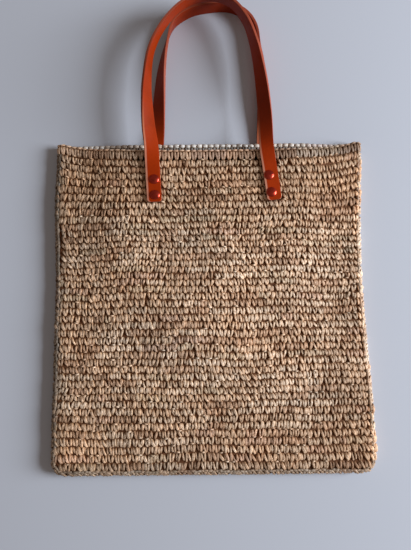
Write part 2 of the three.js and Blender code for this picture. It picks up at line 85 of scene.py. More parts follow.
def paint(red, green, blue):
    """A colour as a screen shows it, from 0 to 255, as the light values that a shader takes."""
    shares = [value / 255 for value in (red, green, blue)]
    return tuple(s / 12.92 if s < 0.04045 else ((s + 0.055) / 1.055) ** 2.4 for s in shares) + (1.0,)


FLOOR_COLOUR = paint(196, 200, 212)

bpy.ops.object.select_all(action="DESELECT")
bpy.ops.mesh.primitive_plane_add(size=FLOOR_SIZE, location=(0, 0, -FLOOR_DROP))
floor = bpy.context.object
floor.name = "floor"
floor_finish = bpy.data.materials.new("floor")
floor_finish.use_nodes = True
floor_shader = floor_finish.node_tree.nodes["Principled BSDF"]
floor_shader.inputs["Base Color"].default_value = FLOOR_COLOUR
floor_shader.inputs["Roughness"].default_value = FLOOR_ROUGHNESS
floor_shader.inputs["Specular IOR Level"].default_value = FLOOR_SHINE
floor.data.materials.append(floor_finish)

world = bpy.data.worlds.new("sky")
world.use_nodes = True
bpy.context.scene.world = world
world.node_tree.nodes["Background"].inputs["Color"].default_value = SKY_COLOUR
world.node_tree.nodes["Background"].inputs["Strength"].default_value = SKY_STRENGTH

window = bpy.data.objects.new("window", bpy.data.lights.new("window", "AREA"))
bpy.context.scene.collection.objects.link(window)
window.location = WINDOW_PLACE
window.rotation_euler = (-WINDOW_PLACE).to_track_quat("-Z", "Y").to_euler()
window.data.size = WINDOW_SIZE
window.data.energy = WINDOW_POWER
window.data.color = WINDOW_COLOUR

# The front panel is crocheted in courses from side to side. Each stitch is a V of two fat strands of raffia,
# which come up out of the stitch below and dive under the stitch above.

# The body is a rectangle with round bottom corners. Its left and its right side are drawn in by their own
# amounts at the waist, the mouth and the foot.
PANEL_EDGE = 6.5
EDGE_OVERHANG = 1.6
SEAM_WIDTH = 9.5
CORNER_RADIUS = 18.0
WAIST_DRAW = (1.0, 7.0)
WAIST_Y = 45.0
WAIST_REACH = 200.0
MOUTH_DRAW = (2.0, 0.0)
MOUTH_DRAW_RUN = 60.0
FOOT_DRAW = (3.0, 0.0)
FOOT_DRAW_Y = (20.0, 130.0)
# The mouth: its edges against its level in the middle, and their climb to the corners.
MOUTH_CORNER = 10.0
FRONT_EDGE = -3.0
BACK_EDGE = 8.3
MOUTH_CLIMB = 4
MOUTH_SPREAD = 110.0
RIM_HEIGHT = 12.0

seam_low, seam_high = (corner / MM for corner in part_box("joining_seam"))
front_low, front_high = (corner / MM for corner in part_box("front_panel"))
body_bottom = seam_low.y
half_body = seam_high.x
seam_height = seam_high.z
panel_bottom = front_low.y
crown_top = front_high.z
panel_inset = panel_bottom - body_bottom
mouth_y = (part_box("mouth_rim")[1] / MM).y - MOUTH_CORNER
rim_bottom = mouth_y - RIM_HEIGHT

# Along each strand run streaks of the fibres' own tone, with painted shade in their hollows and painted
# highlights on their crests.
RAFFIA_HOLLOW_SHADE = (0.58, 0.48, 0.38, 1.0)
RAFFIA_CREST_HIGHLIGHT = (1.48, 1.56, 1.66, 1.0)
FIBRE_STRETCH = (0.75, 0.42, 1.0)
FIBRE_CONTRAST = 2.0
PATCH_CONTRAST = 0.5
HOLLOW_SHARE = 0.83
RAFFIA_ROUGHNESS = 0.74
FIBRE_GLOSS = 0.3


class Wire:
    """One output in a material's nodes. Sums, differences and products of wires add Math nodes."""

    def __init__(self, tree, socket=None):
        self.tree = tree
        self.socket = socket

    def feed(self, target, value):
        if isinstance(value, Wire):
            self.tree.links.new(value.socket, target)
        else:
            target.default_value = value

    def node(self, kind, settings=None, inputs=None, output=0):
        """Adds any other node, set up first and then fed, and gives one of its outputs."""
        added = self.tree.nodes.new(kind)
        for name, value in (settings or {}).items():
            setattr(added, name, value)
        for name, value in (inputs or {}).items():
            self.feed(added.inputs[name], value)
        return Wire(self.tree, added.outputs[output])

    def maths(self, operation, first, second):
        return self.node("ShaderNodeMath", {"operation": operation}, {0: first, 1: second})

    def __add__(self, other):
        return self.maths("ADD", self, other)

    __radd__ = __add__

    def __sub__(self, other):
        return self.maths("SUBTRACT", self, other)

    def __rsub__(self, other):
        return self.maths("SUBTRACT", other, self)

    def __mul__(self, other):
        return self.maths("MULTIPLY", self, other)

    __rmul__ = __mul__

    def times_colour(self, colour):
        """The colour made lighter or darker by this wire."""
        scaled = {"Vector": colour[:3], "Scale": self}
        return self.node("ShaderNodeVectorMath", {"operation": "SCALE"}, scaled, "Vector")

    def mix(self, under, over):
        """From one colour to another as this wire goes from 0 to 1."""
        return self.node("ShaderNodeMix", {"data_type": "RGBA"}, {0: self, 6: under, 7: over}, 2)

    def through(self, colour):
        """This colour seen through another: the two multiplied."""
        return self.node("ShaderNodeVectorMath", {"operation": "MULTIPLY"}, {0: self, 1: colour}, "Vector")

    def step(self, start, end):
        """From 0 to 1, smoothly, as this wire goes from start to end."""
        reach = {"Value": self, "From Min": start, "From Max": end}
        return self.node("ShaderNodeMapRange", {"interpolation_type": "SMOOTHSTEP"}, reach)


def new_finish(name):
    """A material, its shader, and a first wire to add nodes with."""
    finish = bpy.data.materials.new(name)
    finish.use_nodes = True
    tree = finish.node_tree
    return finish, tree.nodes["Principled BSDF"], Wire(tree)


def emboss(shader, height, strength, depth):
    """Lets light play on a surface as if the height raised it, up to a depth in millimetres."""
    bump = {"Height": height, "Strength": strength, "Distance": depth * MM}
    height.feed(shader.inputs["Normal"], height.node("ShaderNodeBump", {}, bump, "Normal"))


def blotches(wire, scale, detail=4.0):
    """Soft blotches all over a piece, from 0 to 1. The scale is about how many there are in a metre."""
    place = wire.node("ShaderNodeTexCoord", output="Object")
    return wire.node("ShaderNodeTexNoise", {}, {"Vector": place, "Scale": scale, "Detail": detail}, "Fac")


def blotchy_finish(name, colour, scale, contrast, darkest, roughness):
    """A finish with light and dark blotches of one colour, its shader, and the blotches."""
    finish, shader, wire = new_finish(name)
    spots = blotches(wire, scale)
    wire.feed(shader.inputs["Base Color"], (spots * contrast + darkest).times_colour(colour))
    shader.inputs["Roughness"].default_value = roughness
    return finish, shader, spots


def raffia_finish():
    """Dry raffia: fine fibres along each strand, which carries its own tint, with painted light and shade in
    it, and its place in a UV map.
    """
    finish, shader, wire = new_finish("raffia")
    flat = {"noise_dimensions": "2D"}
    strand = wire.node("ShaderNodeUVMap", {"uv_map": "strand"}, output="UV")
    drawn_out = wire.node("ShaderNodeMapping", {}, {"Vector": strand, "Scale": FIBRE_STRETCH}, "Vector")
    thread = {"Vector": drawn_out, "Scale": 1.0, "Detail": 4.0, "Roughness": 0.62}
    fibres = wire.node("ShaderNodeTexNoise", flat, thread, "Fac")
    patches = wire.node("ShaderNodeTexNoise", flat, {"Vector": strand, "Scale": 0.16, "Detail": 2.0}, "Fac")
    tint = wire.node("ShaderNodeAttribute", {"attribute_name": "tint"}, output="Color")
    light = fibres * FIBRE_CONTRAST + patches * PATCH_CONTRAST - HOLLOW_SHARE
    wire.feed(shader.inputs["Base Color"], tint.through(light.mix(RAFFIA_HOLLOW_SHADE, RAFFIA_CREST_HIGHLIGHT)))
    wire.feed(shader.inputs["Roughness"], RAFFIA_ROUGHNESS - fibres * FIBRE_GLOSS)
    emboss(shader, fibres, strength=0.6, depth=0.4)
    return finish


raffia = raffia_finish()
# A dark, dull, blotchy sheet under the stitches is the painted shade seen down in the gaps between them.
GAP_SHADE_COLOUR = paint(98, 56, 24)
gap_shade, gap_shade_shader, gap_shade_blotches = blotchy_finish(
    "raffia_gap_shade", GAP_SHADE_COLOUR, scale=420.0, contrast=0.9, darkest=0.5, roughness=0.9,
)
emboss(gap_shade_shader, gap_shade_blotches, strength=1.0, depth=0.8)


def smooth(value, start, end):
    """From 0 to 1, smoothly, as the value goes from start to end."""
    share = np.clip((value - start) / (end - start), 0, 1)
    return share * share * (3 - 2 * share)


def side_x(x, y, inset):
    """How far the body reaches to the side that x is on, at height y, less an inset."""
    left = np.asarray(x) < 0
    share = np.clip(np.abs(y - WAIST_Y) / WAIST_REACH, 0, 1)
    waist = np.where(left, *WAIST_DRAW) * np.cos(share * np.pi / 2) ** 2
    mouth = np.where(left, *MOUTH_DRAW) * smooth(y, mouth_y - MOUTH_DRAW_RUN, mouth_y)
    foot = np.where(left, *FOOT_DRAW) * (1 - smooth(y, *FOOT_DRAW_Y))
    radius = max(CORNER_RADIUS - inset, 0)
    below = np.clip(body_bottom + inset + radius - y, 0, radius)
    corner = radius - np.sqrt(radius ** 2 - below ** 2)
    return half_body - waist - mouth - foot - inset - corner


def both_sides(y, inset):
    """Where the body's left and right sides are at height y, less an inset."""
    return -side_x(-1, y, inset), side_x(1, y, inset)


def mouth_reach(edge, share):
    """How far an edge of the mouth reaches beyond its level. It climbs steeply only near the corners."""
    from_middle = np.clip(np.abs(2 * share - 1), 0, 1)
    return edge + (MOUTH_CORNER - edge) * from_middle ** MOUTH_CLIMB


def spread_to_edge(edge, x, y):
    """Where a point of an even pattern lies once the courses are spread up to an edge of the mouth."""
    left, right = both_sides(y, panel_inset)
    share = (x - left) / (right - left)
    lifted = y + mouth_reach(edge, share) * smooth(y, mouth_y - MOUTH_SPREAD, rim_bottom)
    left, right = both_sides(lifted, panel_inset)
    return left + (right - left) * share, lifted


# Slow changes over the whole panel: the seed, the wavelength, and how much faster they are up than across.
SAG_RIPPLE = (11, 150.0, 1.0)
LEAN_RIPPLE = (23, 150.0, 2.0)
ACROSS_RIPPLE = (31, 110.0, 1.0)
ALONG_RIPPLE = (37, 120.0, 1.0)
LIGHT_RIPPLE = (51, 110.0, 1.6)
HUE_RIPPLE = (57, 140.0, 1.3)
RIPPLE_WAVES = 5
RIPPLE_LENGTHS = (0.7, 1.5)
RIPPLE_PEAK = 3.2


def ripple(x, y, seed, wavelength, squash):
    """Gentle hand-made unevenness from -1 to 1, the same for a seed every time."""
    own_draws = np.random.default_rng(seed)
    total = np.zeros(np.broadcast(x, y).shape)
    for _ in range(RIPPLE_WAVES):
        turn = own_draws.uniform(0, math.pi)
        length = wavelength * own_draws.uniform(*RIPPLE_LENGTHS)
        start = own_draws.uniform(0, 2 * math.pi)
        total += np.sin((x * math.cos(turn) + y * squash * math.sin(turn)) * 2 * math.pi / length + start)
    return total / RIPPLE_PEAK


# The front panel is swollen towards the mouth. Below the slack's height the empty bag lies flatter, at
# shares of the crown's height and of its flat top's width.
CROWN_HALF_WIDTH = 95.0
CROWN_RUN = 90.0
CROWN_SLACK_Y = -30.0
CROWN_SLACK = 0.7
CROWN_SLACK_WIDTH = 0.5
PANEL_SAG = 1.0
SAG_RUN = (110.0, 165.0)
SAG_FOOT_FADE = 60.0
SAG_SIDE_FADE = 50.0


def crown(x, y):
    """How far the front panel has risen from the seam's height, 0, to its highest part, 1."""
    edge = side_x(x, np.maximum(y, body_bottom + CORNER_RADIUS), panel_inset)
    near_mouth = smooth(y, CROWN_SLACK_Y, mouth_y - CROWN_RUN)
    half_width = CROWN_HALF_WIDTH * (CROWN_SLACK_WIDTH + (1 - CROWN_SLACK_WIDTH) * near_mouth)
    across = smooth(edge - np.abs(x), 0, edge - half_width)
    along = smooth(y, body_bottom + panel_inset, body_bottom + panel_inset + CROWN_RUN)
    return across * along * (CROWN_SLACK + (1 - CROWN_SLACK) * near_mouth)


def front_height(x, y):
    """The outer face of the front panel: swollen towards the mouth, with a slack hollow here and there."""
    height = seam_height + (crown_top - seam_height) * crown(x, y)
    slack = smooth(mouth_y - y, *SAG_RUN) * smooth(y - panel_bottom, 0, SAG_FOOT_FADE)
    sides = smooth(side_x(x, y, panel_inset) - np.abs(x), 0, SAG_SIDE_FADE)
    return height - PANEL_SAG * slack * sides * (ripple(x, y, *SAG_RIPPLE) + 1) / 2


def front_place(x, y, up):
    """Where a point of the even pattern lies on the front panel, at a height above its face."""
    x, y = spread_to_edge(FRONT_EDGE, x, y)
    return np.stack([x, y, front_height(x, y) + up], axis=-1)


STRAND_WIDTH = 3.5
STRAND_THICKNESS = 2.7
STRAND_LEVEL = -1.9
# The strands' section, in shares of half their width and thickness: a groove between two crests.
STRAND_SECTION = [
    (-1.0, -0.25), (-0.84, 0.5), (-0.46, 0.88), (-0.04, 0.6),
    (0.42, 0.95), (0.84, 0.5), (1.0, -0.25), (0.0, -0.8),
]
# Stations along a strand: share of its length, height of its middle in millimetres, and girth.
STRAND_STATIONS = [
    (0.0, -1.5, 0.5), (0.12, 0.0, 0.88), (0.34, 0.95, 1.0),
    (0.6, 0.75, 1.08), (0.82, -0.6, 0.98), (1.0, -2.7, 0.5),
]


def strand_blank():
    """One unit strand: a grooved section pulled along +Y, with its girth changed at each station."""
    bpy.ops.object.select_all(action="DESELECT")
    bpy.ops.mesh.primitive_circle_add(vertices=len(STRAND_SECTION), radius=1, fill_type="NGON")
    blank = bpy.context.object
    share, _, girth = STRAND_STATIONS[0]
    for vertex, (across, up) in zip(blank.data.vertices, STRAND_SECTION):
        vertex.co = (across * girth, share, up * girth)
    bpy.ops.object.mode_set(mode="EDIT")
    bpy.ops.mesh.select_all(action="SELECT")
    for next_share, _, next_girth in STRAND_STATIONS[1:]:
        bpy.ops.mesh.extrude_region_move(TRANSFORM_OT_translate={"value": (0, next_share - share, 0)})
        scale = next_girth / girth
        bpy.ops.transform.resize(value=(scale, 1, scale), center_override=(0, next_share, 0))
        share, girth = next_share, next_girth
    bpy.ops.mesh.select_all(action="SELECT")
    bpy.ops.mesh.normals_make_consistent(inside=False)
    bpy.ops.object.mode_set(mode="OBJECT")
    points = np.array([vertex.co for vertex in blank.data.vertices])
    faces = [list(face.vertices) for face in blank.data.polygons]
    bpy.data.objects.remove(blank)
    return points, faces


blank_points, blank_faces = strand_blank()
station_shares, station_rises, _ = zip(*STRAND_STATIONS)


def signed_volume(points, faces):
    """More than 0 where the faces of a closed mesh point outwards."""
    total = 0.0
    for face in faces:
        for second, third in zip(face[1:], face[2:]):
            total += np.dot(points[face[0]], np.cross(points[second], points[third]))
    return total


# Painted shade darkens and browns each strand where it dives down between the others: red, green and blue
# fade at these powers.
DEPTH_WARMTH = np.array([1.0, 1.45, 2.15])
DEPTH_LIGHT = 0.3
DEPTH_RUN = (-1.9, 1.3)
DEPTH_OF_SECTION = 1.2
EDGE_SHADE = 0.42
EDGE_SHADE_RUN = (0.45, 1.1)
GRAIN_SPREAD = 900
# The crochet is uneven, and in the same way every time.
CROCHET_SEED = 865

draws = np.random.default_rng(CROCHET_SEED)


def jitter(reach):
    return draws.uniform(-reach, reach)


class Strands:
    """Strands that wait to be laid: each has a foot, a head, a width, a lift, a bow and a tint."""

    def __init__(self):
        self.rows = []

    def add(self, foot, head, tint, width, varies, lift=0.0, bow=0.0, sway=0.0, course=0):
        """One more strand. It varies in tint, in width and perhaps in lift, and bows by up to the sway."""
        tints, widths, *lifts = varies
        tint = tint * draws.uniform(*tints)
        width *= draws.uniform(*widths)
        for low_high in lifts:
            lift += draws.uniform(*low_high)
        if sway:
            bow += jitter(sway)
        self.rows.append([*foot, *head, width, lift, bow, *tint, course])

    def lay(self, name, place, courses=None, relief=1.0):
        """One mesh of all the strands, or of some courses, each a bent copy of the blank."""
        rows = np.array(self.rows)
        if courses is not None:
            rows = rows[(rows[:, -1] >= courses[0]) & (rows[:, -1] < courses[1])]
        foot, head, width, lift, bow, tint, _ = np.split(rows, [2, 4, 5, 6, 7, 10], axis=1)
        foot, head, tint = foot[:, None], head[:, None], tint[:, None]
        side, share, top = blank_points.T[:, None]
        way = head - foot
        length = np.linalg.norm(way, axis=-1, keepdims=True)
        aside = np.stack([way[..., 1], -way[..., 0]], axis=-1) / length
        across = side * width / 2 + bow * 4 * share * (1 - share)
        rise = np.interp(share, station_shares, station_rises) * relief
        up = STRAND_LEVEL + lift + rise + top * STRAND_THICKNESS / 2
        flat = foot + way * share[..., None] + aside * across[..., None]
        points = place(flat[..., 0], flat[..., 1], up).reshape(-1, 3) * MM
        count, size = len(rows), len(blank_points)
        faces = []
        for sides in sorted({len(face) for face in blank_faces}):
            shape = np.array([face for face in blank_faces if len(face) == sides])
            faces += (shape[None] + np.arange(count)[:, None, None] * size).reshape(-1, sides).tolist()
        if signed_volume(points[:size], blank_faces) < 0:
            faces = [face[::-1] for face in faces]
        mesh = bpy.data.meshes.new(name)
        mesh.from_pydata(points, [], faces)
        grain_across = side * width / 2 + draws.uniform(0, GRAIN_SPREAD, (count, 1))
        grain_along = share * length[..., 0] + draws.uniform(0, GRAIN_SPREAD, (count, 1))
        grain = np.stack([grain_across, grain_along], axis=-1).reshape(-1, 2)
        corners = np.zeros(len(mesh.loops), dtype=int)
        mesh.loops.foreach_get("vertex_index", corners)
        mesh.uv_layers.new(name="strand").data.foreach_set("uv", grain[corners].ravel())
        # Painted shade: darker and browner low on each strand, and darker towards its sides.
        depth = DEPTH_LIGHT + (1 - DEPTH_LIGHT) * smooth(rise + top * DEPTH_OF_SECTION, *DEPTH_RUN)
        depth = depth * (1 - EDGE_SHADE * smooth(np.abs(side), *EDGE_SHADE_RUN))
        tints = np.ones((count, size, 4))
        tints[..., :3] = tint * depth[..., None] ** DEPTH_WARMTH
        mesh.color_attributes.new("tint", "FLOAT_COLOR", "POINT").data.foreach_set("color", tints.ravel())
        mesh.polygons.foreach_set("use_smooth", np.ones(len(mesh.polygons), dtype=bool))
        mesh.materials.append(raffia)
        mesh.update()
        piece = bpy.data.objects.new(name, mesh)
        bpy.context.scene.collection.objects.link(piece)
        return piece


# Painted shade darkens and browns the raffia near the mouth, and a little near the bottom and on the right
# side.
SHADE_MOUTH_Y = (90.0, 140.0)
SHADE_FOOT_Y = (-85.0, -150.0)
SHADE_SIDE_X = (70.0, 160.0)
SHADE_FOOT_SHARE = 0.5
SHADE_SIDE_SHARE = 0.7
SHADE_TINT = np.array([0.84, 0.78, 0.72])
# Painted light and shade beside the seam, lighter on the right and darker on the left and at the bottom: by
# how much, and between which distances from the edge.
LEFT_EDGE_SHADE = (-0.5, 6.0, 18.0)
RIGHT_EDGE_LIGHT = (0.85, 6.0, 12.0)
FOOT_EDGE_SHADE = (-0.25, 10.0, 15.0)
PATCH_LIGHT = 0.08
PATCH_HUE = np.array([0.03, 0.0, -0.03])
# A paler area right of the middle: where it is, how wide and tall, and how much lighter.
PALE_PLACE = (42.0, 12.0)
PALE_SIZE = (26.0, 85.0)
PALE_LIGHT = 0.24


def painted_shade(x, y):
    """The painted shade that the raffia's tint is multiplied by at a place on the body."""
    share = smooth(y, *SHADE_MOUTH_Y) + SHADE_FOOT_SHARE * smooth(y, *SHADE_FOOT_Y)
    share = share + SHADE_SIDE_SHARE * smooth(x, *SHADE_SIDE_X)
    return 1 + (SHADE_TINT - 1) * share


def edge_light_and_shade(x, y):
    """How much painted light or shade the last stitches before the seam carry."""
    amount, start, end = LEFT_EDGE_SHADE if x < 0 else RIGHT_EDGE_LIGHT
    beside = 1 + amount * (1 - smooth(side_x(x, y, 0) - abs(x), start, end))
    amount, start, end = FOOT_EDGE_SHADE
    return beside * (1 + amount * (1 - smooth(y - body_bottom, start, end)))


def patchy(x, y):
    """Wide patches where the raffia is a little lighter, and a little redder or greyer."""
    away = ((x - PALE_PLACE[0]) / PALE_SIZE[0]) ** 2 + ((y - PALE_PLACE[1]) / PALE_SIZE[1]) ** 2
    light = 1 + PATCH_LIGHT * ripple(x, y, *LIGHT_RIPPLE) + PALE_LIGHT * math.exp(-away)
    return light * (1 + PATCH_HUE * ripple(x, y, *HUE_RIPPLE))


# The raffia's tints: how often each is taken up. A leaf of raffia lasts for a few stitches.
RAFFIA_TINTS = [
    (0.5, (231, 199, 171)),
    (0.26, (240, 214, 190)),
    (0.05, (222, 196, 169)),
    (0.05, (227, 192, 168)),
    (0.14, (210, 174, 146)),
]
LEAF_TONES = (0.86, 1.12)
LEAF_STITCHES = (1, 7)


def raffia_runs(count):
    """Tints for a course: the colour changes where a new leaf of raffia was taken up."""
    shares = np.array([share for share, _ in RAFFIA_TINTS])
    tints = []
    while len(tints) < count:
        colour = RAFFIA_TINTS[draws.choice(len(RAFFIA_TINTS), p=shares / shares.sum())][1]
        leaf = np.array(paint(*colour)[:3]) * draws.uniform(*LEAF_TONES)
        tints += [leaf] * int(draws.integers(*LEAF_STITCHES))
    return tints[:count]


STITCH_PITCH = 7.0
COURSE_PITCH = 8.3
# The courses are uneven: how tall they are, in shares of their mean height, at some heights of the body.
COURSE_TALLNESS = [
    (-175, 1.12), (-160, 1.08), (-128, 0.99), (-92, 0.93), (-50, 1.02), (-30, 1.04),
    (0, 1.01), (49, 0.9), (84, 0.86), (120, 1.05), (155, 1.05),
]
# Both strands of a V start near its middle and spread, and reach into the courses below and above.
STITCH_FOOT = 0.45
STITCH_SPREAD = 2.75
STITCH_OVERLAP = 0.5
STITCH_BOW = 0.3
STITCH_LEAN = 1.0
# Some of the loops along the top of a course show between the stitches above.
LOOP_SHARE = 0.2
LOOP_REACH = 3.4
LOOP_WIDTH = 2.2
# How uneven the work is: the most by which a place shifts either way, in millimetres, and for each kind of
# strand how it varies: the factors of its tint, the factors of its width, and its lift.
LEAN_JITTER = 1.4
FOOT_JITTER = (0.8, 1.0)
HEAD_JITTER = (1.0, 1.1)
STITCH_SIZES = (0.75, 1.2)
STITCH_VARIES = ((0.86, 1.12), (0.75, 1.16), (-0.8, 0.5))
LOOP_JITTER = 0.9
LOOP_TILT = 1.2
LOOP_SWAY = 0.6
LOOP_VARIES = ((0.6, 1.0), (0.8, 1.2), (-0.9, 0.3))
# How far each course starts beside the one below, in stitches: the mean and the spread.
COURSE_DRIFT = (0.08, 0.12)
LEAN_WAVE = 2.6
COURSE_WANDER = 1.5
WANDER_FADE = 25.0
WANDER_FOOT_FADE = 20.0


def wander(x, y):
    """Where a point of an even pattern really lies, because no course is quite straight."""
    arch_shade = smooth(side_x(x, y, SEAM_WIDTH) - np.abs(x), 0, WANDER_FADE)
    arch_shade = arch_shade * smooth(rim_bottom - y, 0, WANDER_FADE)
    arch_shade = arch_shade * smooth(y - panel_bottom, 0, WANDER_FOOT_FADE) * COURSE_WANDER
    return x + arch_shade * ripple(x, y, *ACROSS_RIPPLE), y + arch_shade * ripple(x, y, *ALONG_RIPPLE)


def panel_strands(low_y, high_y):
    """The two strands of every stitch between two heights, and how many courses there are."""
    strands = Strands()
    courses = round((high_y - low_y) / COURSE_PITCH)
    heights, tallness = zip(*COURSE_TALLNESS)
    shares = np.interp(np.linspace(low_y, high_y, courses), heights, tallness)
    levels = low_y + (high_y - low_y) * np.concatenate([[0], np.cumsum(shares)]) / shares.sum()
    drift = 0.0
    for course, (low, high) in enumerate(zip(levels, levels[1:])):
        middle = (low + high) / 2
        left, right = both_sides(middle, PANEL_EDGE)
        count = round((right - left) / STITCH_PITCH)
        step = (right - left) / count
        drift = (drift + draws.normal(*COURSE_DRIFT)) % 1
        for stitch, tint in enumerate(raffia_runs(count + 2)):
            x = left + (stitch - 1 + drift) * step
            lean = LEAN_WAVE * ripple(x, middle, *LEAN_RIPPLE) + STITCH_LEAN + jitter(LEAN_JITTER)
            size = draws.uniform(*STITCH_SIZES)
            # The stitch's tint with its painted shade and painted light, and its wide patches.
            tint = tint * painted_shade(x, middle) * patchy(x, middle) * edge_light_and_shade(x, middle)
            if not left - EDGE_OVERHANG < x < right + EDGE_OVERHANG:
                continue
            for side in (-1, 1):
                foot_x = x + lean + side * (STITCH_FOOT + jitter(FOOT_JITTER[0]))
                head_x = x + side * (STITCH_SPREAD * size + jitter(HEAD_JITTER[0]))
                foot_y = low - STITCH_OVERLAP + jitter(FOOT_JITTER[1])
                head_y = high + STITCH_OVERLAP + jitter(HEAD_JITTER[1])
                strands.add(
                    wander(foot_x, foot_y), wander(head_x, head_y), tint, STRAND_WIDTH * size,
                    STITCH_VARIES, bow=side * STITCH_BOW, course=course,
                )
            if draws.uniform() < LOOP_SHARE:
                loop_y = high + jitter(LOOP_JITTER)
                strands.add(
                    wander(x - LOOP_REACH, loop_y + jitter(LOOP_TILT)),
                    wander(x + LOOP_REACH, loop_y + jitter(LOOP_TILT)),
                    tint, LOOP_WIDTH, LOOP_VARIES, sway=LOOP_SWAY, course=course,
                )
    return strands, courses


def wrapped_sheet(name, columns, rows, place):
    """A flat grid whose corners, by their shares across and along, are put where place says."""
    bpy.ops.object.select_all(action="DESELECT")
    bpy.ops.mesh.primitive_grid_add(
        x_subdivisions=columns, y_subdivisions=rows, size=1, location=(0.5, 0.5, 0),
    )
    sheet = bpy.context.object
    sheet.name = name
    sheet.data.name = name
    bpy.ops.object.transform_apply(location=True, rotation=False, scale=False)
    flat = np.array([vertex.co for vertex in sheet.data.vertices])
    shares = np.round(flat[:, :2], 6)
    sheet.data.vertices.foreach_set("co", (place(shares[:, 0], shares[:, 1]) * MM).ravel())
    sheet.data.update()
    return sheet


def finish_modifiers(piece, *modifiers):
    """Adds modifiers, each a kind and its settings, and applies them in turn."""
    bpy.context.view_layer.objects.active = piece
    for kind, settings in modifiers:
        modifier = piece.modifiers.new(kind.lower(), kind)
        for name, value in settings.items():
            setattr(modifier, name, value)
        bpy.ops.object.modifier_apply(modifier=modifier.name)


# The closed dark sheet under the stitches, painted shade for the gaps, which runs in under the seam and the
# rim.
GROUND_LEVEL = -2.4
GROUND_THICKNESS = 2.6
GROUND_EDGE = 4.275
PANEL_TUCK = 3.0


def thicken(sheet, offset):
    """Makes a sheet a solid wall, on the inner side of its own surface."""
    settings = {"thickness": GROUND_THICKNESS * MM, "offset": offset, "use_even_offset": True}
    finish_modifiers(sheet, ("SOLIDIFY", settings))


def panel_shade_sheet(name, place, top_y, outer_first):
    """The closed dark sheet under a panel's stitches, painted shade for the gaps. It runs in under the seam
    and the rim.
    """

    def put(across, along):
        y = body_bottom + GROUND_EDGE + (top_y - body_bottom - GROUND_EDGE) * along
        left, right = both_sides(y, GROUND_EDGE)
        return place(left + (right - left) * across, y, np.full(y.shape, GROUND_LEVEL))

    sheet = wrapped_sheet(name, columns=72, rows=88, place=put)
    thicken(sheet, -1.0 if outer_first else 1.0)
    sheet.data.materials.append(gap_shade)
    bpy.ops.object.shade_smooth()
    return sheet


def crochet_panel(side, place, outer_first):
    """A panel that moves with the bag: its closed sheet, and its stitches in three bands of courses."""
    strands, course_count = panel_strands(panel_bottom - PANEL_TUCK, rim_bottom)
    sheet = panel_shade_sheet(f"{side}_panel_shade_sheet", place, rim_bottom + PANEL_TUCK, outer_first)
    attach(sheet, "bag")
    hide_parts(f"{side}_panel")
    for third, band in enumerate(("lower", "middle", "upper")):
        courses = (round(course_count * third / 3), round(course_count * (third + 1) / 3))
        piece = strands.lay(f"{side}_panel_{band}_courses", place, courses)
        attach(piece, "bag")


crochet_panel("front", front_place, True)

# The back panel is the same crochet. It lies on the floor, and near the mouth the rivets and strap ends
# under it lift it. There is a little play between a strap and the crochet.
LIFT_START = 120.0
LIFT_WHOLE = 78.0
LIFT_FADE_X = 165.0
FLOOR_CLEARANCE = 0.05
STRAP_THICKNESS = 3.0
STRAP_PLAY = 0.3
BACK_STRAP_FACE = 2.5

back_lift = BACK_STRAP_FACE + STRAP_THICKNESS + STRAP_PLAY


def back_height(x, y):
    """How high the back panel's outer face lies above the floor."""
    across = 1 - smooth(np.abs(x), CROWN_HALF_WIDTH, LIFT_FADE_X)
    return back_lift * across * smooth(y, mouth_y - LIFT_START, mouth_y - LIFT_WHOLE)


def back_place(x, y, up):
    """Where a point of the even pattern lies on the back panel, at a height out of its face."""
    x, y = spread_to_edge(BACK_EDGE, x, y)
    height = back_height(x, y) - up
    return np.stack([x, y, np.maximum(height, FLOOR_CLEARANCE)], axis=-1)


crochet_panel("back", back_place, False)

# The joining seam is a round of thicker slanted stitches, worked over the edges of both panels down the left
# side, along the bottom and up the right side. A chain of loops lies along its front.
SEAM_PITCH = 4.0
SEAM_SLANT = 8.0
SEAM_STRAND_WIDTH = 3.6
SEAM_RELIEF = 0.45
SEAM_BOW = 0.5
SEAM_CORE = 2.3
SEAM_END = 0.5
# A strand starts this far round the seam, on its front or its back, and wraps on past its outer side.
SEAM_REACH = math.radians(132)
SEAM_FRONT_WRAP = math.radians(40)
SEAM_BACK_WRAP = 0.1
SEAM_BACK_LIFT = -0.6
SEAM_JITTER = 2.0
SEAM_REACH_VARIES = (-0.3, 0.2)
SEAM_VARIES = ((0.75, 1.15), (0.75, 1.3), (-0.5, 0.4))
SEAM_CHAIN_ANGLE = math.radians(103)
SEAM_CHAIN_WIDTH = 4.2
SEAM_CHAIN_REACH = 4.2
SEAM_CHAIN_JITTER = 0.3
SEAM_CHAIN_SWAY = 0.5
SEAM_CHAIN_VARIES = ((0.6, 1.2), (0.7, 1.15), (0.0, 0.5))
# The seam and its chain are painted lighter up the right side, as light, and darker along the bottom and the
# left side, as shade: how light they are, and at which shares of its length that changes.
SEAM_TONE_PLACES = (0.32, 0.37, 0.64, 0.7)
SEAM_LIGHT_AND_SHADE = (0.4, 0.7, 0.7, 0.85)
SEAM_CHAIN_LIGHT_AND_SHADE = (0.5, 0.75, 0.75, 1.35)

seam_inset = SEAM_WIDTH / 2
seam_top_y = rim_bottom + MOUTH_CORNER
seam_half_height = seam_height / 2


def seam_line():
    """The seam's middle line from the top left, round the bottom, to the top right."""
    corner_y = body_bottom + CORNER_RADIUS
    radius = CORNER_RADIUS - seam_inset
    down = np.linspace(seam_top_y, corner_y, num=80)
    turn = np.linspace(0, math.pi / 2, num=20)[1:]
    halves = []
    for side in (-1, 1):
        corner_x = side_x(side, corner_y, seam_inset) - radius
        xs = np.concatenate([side_x(side, down, seam_inset), corner_x + radius * np.cos(turn)])
        ys = np.concatenate([down, corner_y - radius * np.sin(turn)])
        halves.append(np.stack([side * xs, ys], axis=-1))
    return np.concatenate([halves[0], halves[1][::-1]])


